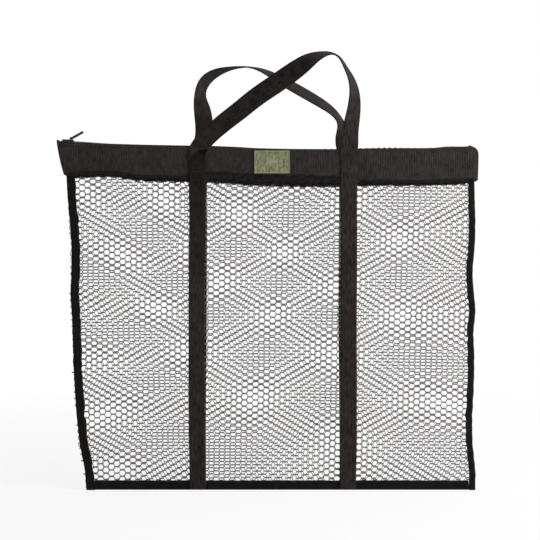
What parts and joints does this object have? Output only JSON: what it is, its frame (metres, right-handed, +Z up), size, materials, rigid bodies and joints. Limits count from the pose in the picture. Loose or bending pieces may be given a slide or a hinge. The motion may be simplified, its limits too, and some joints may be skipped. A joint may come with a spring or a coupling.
{
  "type": "fish keep bag",
  "caption": "Flat black net bag with a zipped webbing band round its mouth, webbing straps sewn down both faces and two webbing carry handles.",
  "frame": {"origin": "where a hand or a hook passes through both handles: in the bag's middle plane, 59 mm above the band's top edge at X = 0, 63 mm below the handles' crossing arches", "axes": "+Z up, away from the hem; -Y out of the front face, the one with the patch; +X to the right as the front is seen, along the band"},
  "size_m": [0.616, 0.1277, 0.6338],
  "materials": {
    "webbing": "matt woven",
    "band_webbing": "matt woven",
    "binding_tape": "matt woven",
    "net": "matt knitted",
    "zip_tape": "matt woven",
    "zip_coil": "satin nylon",
    "enamel": "semi-gloss enamel",
    "patch": "matt woven"
  },
  "bodies": {
    "bag": {"hem_binding": "binding_tape", "label_patch": "patch", "net_panel_back": "net", "net_panel_front": "net", "side_binding_left": "binding_tape", "side_binding_right": "binding_tape", "strap_back_left": "webbing", "strap_back_right": "webbing", "strap_front_left": "webbing", "strap_front_right": "webbing", "top_band_back": "band_webbing", "top_band_front": "band_webbing", "zip_bottom_stop": "enamel", "zip_coil_back": "zip_coil", "zip_coil_front": "zip_coil", "zip_end_tab_left": "binding_tape", "zip_end_tab_right": "binding_tape", "zip_tape_back": "zip_tape", "zip_tape_front": "zip_tape", "zip_top_stop_back": "enamel", "zip_top_stop_front": "enamel"},
    "front_handle": {"handle_front": "webbing"},
    "back_handle": {"handle_back": "webbing"},
    "slider": {"zip_slider": "enamel"},
    "pull_tab": {"zip_pull": "enamel"}
  },
  "joints": [
    {"name": "front_handle_swing", "type": "hinge", "parent": "bag", "child": "front_handle", "pos_m": [0.00185, -0.01105, -0.0897], "axis": [1, 0, 0], "range_deg": [0, 146]},
    {"name": "back_handle_swing", "type": "hinge", "parent": "bag", "child": "back_handle", "pos_m": [0.00185, 0.01105, -0.0897], "axis": [-1, 0, 0], "range_deg": [0, 158]},
    {"name": "zip_slide", "type": "slide", "parent": "bag", "child": "slider", "axis": [0.9999, 0, -0.0143], "range_m": [0, 0.577]},
    {"name": "pull_swing", "type": "hinge", "parent": "slider", "child": "pull_tab", "pos_m": [-0.2951, 0, -0.05088], "axis": [0, 1, 0], "range_deg": [-148, 33]}
  ]
}
